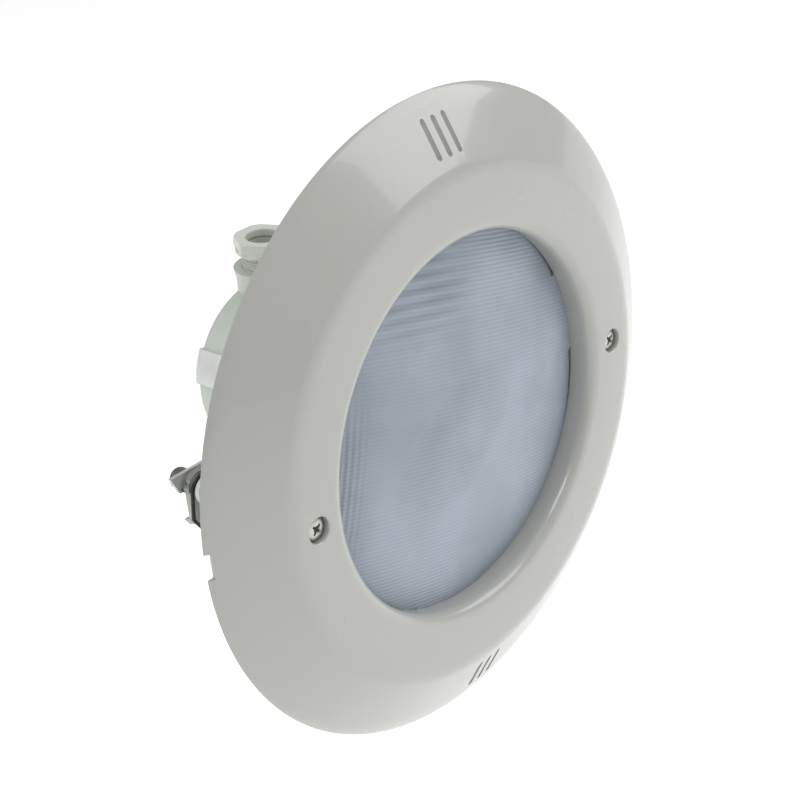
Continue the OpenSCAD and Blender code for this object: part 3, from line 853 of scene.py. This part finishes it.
@dataclass
class ClampScrew:
    """A long M6 screw with a cross recess, drawn about the Y axis with its head in front."""

    head_r: float = 5
    head_back: float = -14.2
    head_h: float = 2.4
    shank_r: float = 2.98
    root_r: float = 2.45
    pitch: float = 1
    thread_y: float = 17
    end_y: float = 59.2
    arm: float = 3.2
    arm_w: float = 1.25
    # how far below the head's face the plate of painted shade sits in the recess
    painted_shade_depth: float = 0.6

    def head(self) -> bmesh.types.BMesh:
        """The pan head with the shank's plain part."""
        front = self.head_back - self.head_h
        edge = (self.head_r, self.head_back - 0.9)
        outline = [(0, front)] + bend((0, front), (self.head_r - 0.5, front), edge, 10)
        outline += [(self.head_r - 0.15, self.head_back), (self.shank_r, self.head_back)]
        runout = self.thread_y + 0.6
        outline += [(self.shank_r, self.thread_y), (self.root_r, runout), (0, runout)]
        return lathe(outline, 64, closed=False)

    def cross(self) -> list[bmesh.types.BMesh]:
        """The cutters of the cross recess: two tapered arms and the cone between them."""
        front = self.head_back - self.head_h
        cuts = []
        for turn in (math.pi / 4, -math.pi / 4):
            arm = block((-self.arm, front - 0.5, -self.arm_w / 2), (self.arm, front + 1.7, self.arm_w / 2))
            for vert in arm.verts:
                if vert.co.y > front:
                    vert.co.x *= 0.35
                    vert.co.z *= 0.7
            cuts.append(moved(arm, Matrix.Rotation(turn, 4, "Y")))
        cone = [(0, front - 0.5), (1.9, front - 0.5), (1.7, front), (0.6, front + 1.9), (0, front + 2.1)]
        cuts.append(lathe(cone, 32, closed=False))
        return cuts

    def painted_shade(self, side: Side) -> bpy.types.Object:
        """Makes a near-black plate of painted shade that fills the bottom of the recess."""
        front = self.head_back - self.head_h + self.painted_shade_depth
        arms = []
        for turn in (math.pi / 4, -math.pi / 4):
            reach, half = self.arm * 0.85, self.arm_w * 0.6
            arm = block((-reach, front, -half), (reach, front + 0.3, half))
            soften(arm, 0.1)
            arms.append(moved(arm, Matrix.Rotation(turn, 4, "Y")))
        arms.append(bar(1.95, front - 0.001, front + 0.301, 32))
        # the painted shade plate follows the screw to its side
        shade_plate = Workpiece(f"{side.value}_recess_painted_shade", joined(arms)).put(side.place())
        return shade_plate.finished(
            RECESS_PAINTED_SHADE, f"{side.value}_screw", "stainless", [f"{side.value}_clamp_screw"]
        )

    def build(self, side: Side) -> bpy.types.Object:
        """Makes the screw of one side."""
        # the plate of painted shade in the cross recess
        self.painted_shade(side)
        name = f"{side.value}_long_screw"
        screw = Workpiece(name, self.head())
        for cut in self.cross():
            screw.work(cut, Cut.REMOVE)
        shank = bar(self.root_r, self.thread_y + 0.4, self.end_y, 40)
        ridge = thread(self.root_r, self.shank_r, self.pitch, self.thread_y, self.end_y - 0.3)
        screw.add(shank).add(ridge).put(side.place())
        return screw.finished(
            TURNED_STEEL, f"{side.value}_screw", "stainless", [f"{side.value}_clamp_screw"]
        )


@dataclass
class ClampDog:
    """The blanked plate that hangs from a bush, with its bent tooth, and its keeper band."""

    half_w: float = 6
    reach: float = 19.5
    front_y: float = 47.2
    plate_t: float = 3
    hub_r: float = 6.6
    bore_r: float = 5.05
    tooth: float = 3.4
    band_t: float = 1.4
    band_y: float = 45.2
    band_tilt: float = math.radians(7)
    bush_r: float = 5

    def corner_z(self) -> float:
        """Height of the plate's two lower corners."""
        return 5.5 - self.reach

    def plate(self, side: Side) -> bpy.types.Object:
        """Makes the dog."""
        corner = self.corner_z()
        arc = [
            (self.hub_r * math.cos(a), self.hub_r * math.sin(a))
            for a in (math.pi * i / 16 for i in range(17))
        ]
        side_x = self.half_w
        tip = [(-side_x, 0), (-side_x, corner), (0, -self.reach), (side_x, corner), (side_x, 0)]
        lower = rounded(tip, 1.2)
        back_y = self.front_y + self.plate_t
        dog = Workpiece(f"{side.value}_dog_plate", plate(arc, self.front_y, back_y))
        dog.work(plate(lower, self.front_y, back_y), Cut.ADD)
        tooth = bmesh.new()
        edge = [(self.front_y + 0.6, corner - 0.4), (back_y, corner + 0.8)]
        edge += [(back_y + self.tooth, corner - 0.5), (back_y, corner - 2.0)]
        edge += [(self.front_y + 0.6, corner - 1.0)]
        face = tooth.faces.new([tooth.verts.new((-self.half_w, y, z)) for y, z in edge])
        grown = bmesh.ops.extrude_face_region(tooth, geom=[face])["geom"]
        ends = [g for g in grown if isinstance(g, bmesh.types.BMVert)]
        bmesh.ops.translate(tooth, verts=ends, vec=(2 * self.half_w, 0, 0))
        dog.work(sealed(tooth), Cut.ADD)
        dog.work(bar(self.bore_r, self.front_y - 1, back_y + 1), Cut.REMOVE)
        dog.shape(lambda bm: soften(bm, 0.22, 2, 35)).put(side.place())
        return dog.finished(
            BLANKED_STEEL, f"{side.value}_dog", "dog_steel", [f"{side.value}_clamp_dog"], sharp=50
        )

    def loop(self, outwards: float) -> list[Point]:
        """One edge of the band: over the bush, down both sides and round the tip."""
        over = self.bush_r + 1.5 + outwards
        half = self.half_w + self.band_t / 2 + 0.2 + outwards
        low = 6.5 - self.reach - 0.3 * outwards
        angles = [math.radians(degrees) for degrees in range(15, 166, 10)]
        points = [(over * math.cos(a), over * math.sin(a)) for a in angles]
        points += bend((-half, low + 2.5), (-half, low), (-half + 2, low - 2.2), 4)
        points += bend((-2.4, -self.reach - 0.4 - 1.3 * outwards), (0, -self.reach - 1.9 - 1.3 * outwards),
                       (2.4, -self.reach - 0.4 - 1.3 * outwards), 6)
        points += bend((half - 2, low - 2.2), (half, low), (half, low + 2.5), 4)
        return points

    def band(self, side: Side) -> bpy.types.Object:
        """Makes the keeper band."""
        half = self.band_t / 2
        loop = Workpiece(f"{side.value}_rubber_band", plate(self.loop(half), -half, half))
        loop.work(plate(self.loop(-half), -half - 1, half + 1), Cut.REMOVE)
        loop.shape(lambda bm: soften(bm, self.band_t * 0.28, 3, 50))
        tilt = Matrix.Translation((0, self.band_y, 0)) @ Matrix.Rotation(self.band_tilt, 4, "X")
        loop.put(side.place() @ tilt)
        return loop.finished(
            BLACK_RUBBER, f"{side.value}_dog", "black_rubber", [f"{side.value}_keeper_band"], sharp=60
        )

    def build(self, side: Side) -> list[bpy.types.Object]:
        """Makes the dog and the band of one side."""
        return [self.plate(side), self.band(side)]


# ---------------------------------------------------------------- cable gland


@dataclass
class GlandScrew:
    """The hollow hexagon screw of the cable gland, drawn upwards from the boss's top."""

    boss_y: float = 98.8
    boss_z: float = 49.4
    lean: float = math.radians(4)
    bore_r: float = 7.6
    thread_r: float = 10
    root_r: float = 9.15
    pitch: float = 1.5
    low: float = -6.1
    flange: Point = (7.4, 9.8)
    flange_r: float = 12.6
    top: float = 14.2
    across_flats: float = 24

    def place(self) -> Matrix:
        """The transform from a gland drawn along the Y axis to the boss."""
        at = Matrix.Translation((0, self.boss_y, self.boss_z))
        return at @ Matrix.Rotation(self.lean + math.pi / 2, 4, "X")

    def build(self) -> bpy.types.Object:
        """Makes the screw."""
        low, high = self.flange
        soft = 0.7
        body = [(self.bore_r, self.low), (self.root_r, self.low)]
        body += [(self.root_r, low), (self.flange_r - soft, low)]
        body += bend((self.flange_r - soft, low), (self.flange_r, low), (self.flange_r, low + soft), 4)
        body += bend((self.flange_r, high - soft), (self.flange_r, high), (self.flange_r - soft, high), 4)
        body += [(self.bore_r, high)]
        corner = self.across_flats / math.sqrt(3)
        sixths = [i * FULL_TURN / 6 for i in range(6)]
        ring = [(corner * math.cos(a), corner * math.sin(a)) for a in sixths]
        hexagon = Workpiece("hexagon", plate(rounded(ring, 0.8), high - 0.3, self.top))
        cone = [(0, high - 1), (corner + 1.2, high - 1), (corner + 0.4, high + 1.6)]
        cone += [(corner - 1.1, self.top), (0, self.top)]
        hexagon.work(lathe(cone, 96, closed=False), Cut.KEEP_COMMON)
        hexagon.work(bar(self.bore_r + 0.9, high - 2, high + 1, 96), Cut.REMOVE)
        mouth = [(0, high - 2), (self.bore_r, high - 2), (self.bore_r, self.top - 1)]
        lip = (self.bore_r + 1, self.top + 0.05)
        mouth += bend((self.bore_r, self.top - 1), (self.bore_r, self.top), lip, 4)
        mouth += [(self.bore_r + 1, self.top + 1), (0, self.top + 1)]
        hexagon.work(lathe(mouth, 96, closed=False), Cut.REMOVE)
        hexagon.shape(lambda bm: soften(bm, 0.18, 2, 25))
        screw = Workpiece("hollow_gland_screw", lathe(body, 96))
        screw.add(thread(self.root_r, self.thread_r, self.pitch, self.low + 0.1, low + 0.2))
        screw.add(hexagon.taken()).put(self.place())
        return screw.finished(
            GLAND_WHITE, "gland_screw_body", "housing_plastic", ["gland_screw"], sharp=34
        )


# ---------------------------------------------------------------- studio


@dataclass
class Studio:
    """Floor, lights and camera."""

    azimuth: float = math.radians(-48.53)
    elevation: float = math.radians(27.13)
    roll: float = math.radians(-4.92)
    distance: float = 0.7152
    lens: float = 76.4
    shift: Point = (-0.0576, 0.0209)
    floor_z: float = -0.32
    light_distance: float = 1.6
    sky_slope: tuple[float, float, float] = (0.55, 0, 0.83)
    sky_strength: Point = (0.2, 0.54)

    def toward(self, azimuth: float, elevation: float) -> Vector:
        """The direction from the object to a place round it, both in radians."""
        level = math.cos(elevation)
        return Vector((math.sin(azimuth) * level, -math.cos(azimuth) * level, math.sin(elevation)))

    def camera(self) -> bpy.types.Object:
        """Makes the camera, which looks at the centre of the ring's back plane."""
        data = bpy.data.cameras.new("camera")
        data.lens = self.lens
        data.sensor_width = 36
        data.shift_x, data.shift_y = self.shift
        data.clip_start = 0.01
        cam = bpy.data.objects.new("camera", data)
        back = self.toward(self.azimuth, self.elevation)
        across = Vector((math.cos(self.azimuth), math.sin(self.azimuth), 0))
        up = back.cross(across)
        right = math.cos(self.roll) * across + math.sin(self.roll) * up
        above = -math.sin(self.roll) * across + math.cos(self.roll) * up
        turn = Matrix((right, above, back)).transposed().to_4x4()
        cam.matrix_world = Matrix.Translation(back * self.distance) @ turn
        bpy.context.scene.collection.objects.link(cam)
        bpy.context.scene.camera = cam
        return cam

    def floor(self) -> bpy.types.Object:
        """Makes the plain pale floor."""
        bm = bmesh.new()
        bmesh.ops.create_grid(bm, x_segments=1, y_segments=1, size=12)
        bmesh.ops.translate(bm, verts=bm.verts[:], vec=(0, 0, self.floor_z))
        mesh = bpy.data.meshes.new("floor")
        bm.to_mesh(mesh)
        bm.free()
        ground = bpy.data.objects.new("floor", mesh)
        sheet = Sheet("pale_floor")
        sheet.set(Base_Color=(0.92, 0.92, 0.92), Roughness=0.9, Specular_IOR_Level=0.1)
        sheet.set(Emission_Color=(1.0, 1.0, 1.0), Emission_Strength=0.5)
        mesh.materials.append(sheet.material)
        bpy.context.scene.collection.objects.link(ground)
        return ground

    def softbox(self, name: str, azimuth: float, elevation: float, size: Point, power: float) -> None:
        """Adds one soft light that faces the object.

        Args:
            name: the light's name.
            azimuth: its direction round the object, in degrees.
            elevation: its height, in degrees.
            size: width and height in metres.
            power: watts.
        """
        data = bpy.data.lights.new(name, "AREA")
        data.shape = "RECTANGLE"
        data.size, data.size_y = size
        data.energy = power
        lamp = bpy.data.objects.new(name, data)
        away = self.toward(math.radians(azimuth), math.radians(elevation))
        facing = away.to_track_quat("Z", "Y").to_matrix().to_4x4()
        lamp.matrix_world = Matrix.Translation(away * self.light_distance) @ facing
        bpy.context.scene.collection.objects.link(lamp)

    def light(self) -> None:
        """Makes the pale surroundings, lightest above and to the right, and the soft lights."""
        world = bpy.data.worlds.new("surroundings")
        world.use_nodes = True
        tree = world.node_tree
        sky = tree.nodes["Background"]
        slope = tree.nodes.new("ShaderNodeVectorMath")
        slope.operation = "DOT_PRODUCT"
        slope.inputs[1].default_value = self.sky_slope
        tree.links.new(tree.nodes.new("ShaderNodeTexCoord").outputs["Generated"], slope.inputs[0])
        fade = tree.nodes.new("ShaderNodeMapRange")
        for name, value in zip(("From Min", "From Max", "To Min", "To Max"), (-1, 1, *self.sky_strength)):
            fade.inputs[name].default_value = value
        tree.links.new(slope.outputs["Value"], fade.inputs["Value"])
        tree.links.new(fade.outputs["Result"], sky.inputs["Strength"])
        sky.inputs["Color"].default_value = (1, 1, 1, 1)
        bpy.context.scene.world = world
        self.softbox("key", 52, 38, (1.3, 1.0), 11)
        self.softbox("rim", -72, 56, (0.45, 0.7), 6)
        self.softbox("back", -135, 30, (0.6, 0.8), 3)
        self.softbox("top", 20, 82, (1.2, 0.8), 1.5)
        bpy.context.scene.view_settings.view_transform = "Standard"

    def build(self) -> None:
        """Makes the studio."""
        self.camera()
        self.floor()
        self.light()


# ---------------------------------------------------------------- everything


PLAIN_NODES: dict[str, Finish] = {
    "retaining_ring": HOUSING_WHITE,
    "retaining_screws": TURNED_STEEL,
    "head_o_rings": BLACK_RUBBER,
    "lens_gasket": GREY_SILICONE,
    "filament_supports": NICKEL_WIRE,
    "lamp_base": STEATITE,
    "lamp_terminals": BRASS,
    "terminal_screws": TURNED_STEEL,
    "strap_nuts": TURNED_STEEL,
    "clamp_brackets": ZINC_PLATE,
    "bracket_rivets": TURNED_STEEL,
    "stop_pins": DULL_STEEL,
    "spacer_sleeves": HOUSING_WHITE,
    "gland_grommet": BLACK_RUBBER,
    "gland_washer": NYLON_BLACK,
    "housing_bowl": HOUSING_WHITE,
    "back_strap": ROLLED_STEEL,
    "left_screw_clip": DULL_STEEL,
    "right_screw_clip": DULL_STEEL,
    "left_end_nut": DULL_STEEL,
    "right_end_nut": DULL_STEEL,
    "left_dog_bush": NYLON_WHITE,
    "right_dog_bush": NYLON_WHITE,
}


def dress_nodes() -> None:
    """Gives each frame node that still shows its own finish."""
    for name, finish in PLAIN_NODES.items():
        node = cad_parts[name]
        if node.hide_render:
            continue
        node.data.materials.clear()
        node.data.materials.append(finish.material())
        LOG.info("%s wears %s", name, finish.name)


def corners(box: tuple[Vector, Vector]) -> list[list[float]]:
    """A box's two corners as plain lists."""
    return [list(box[0]), list(box[1])]


def main() -> None:
    """Builds the light and its studio."""
    logging.basicConfig(level=logging.INFO, format="%(message)s")
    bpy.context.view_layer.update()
    Studio().build()
    FaceRing().build()
    Lamp().build()
    GlandScrew().build()
    for side in Side:
        ClampScrew().build(side)
        ClampDog().build(side)
    dress_nodes()


if __name__ == "__main__":
    main()
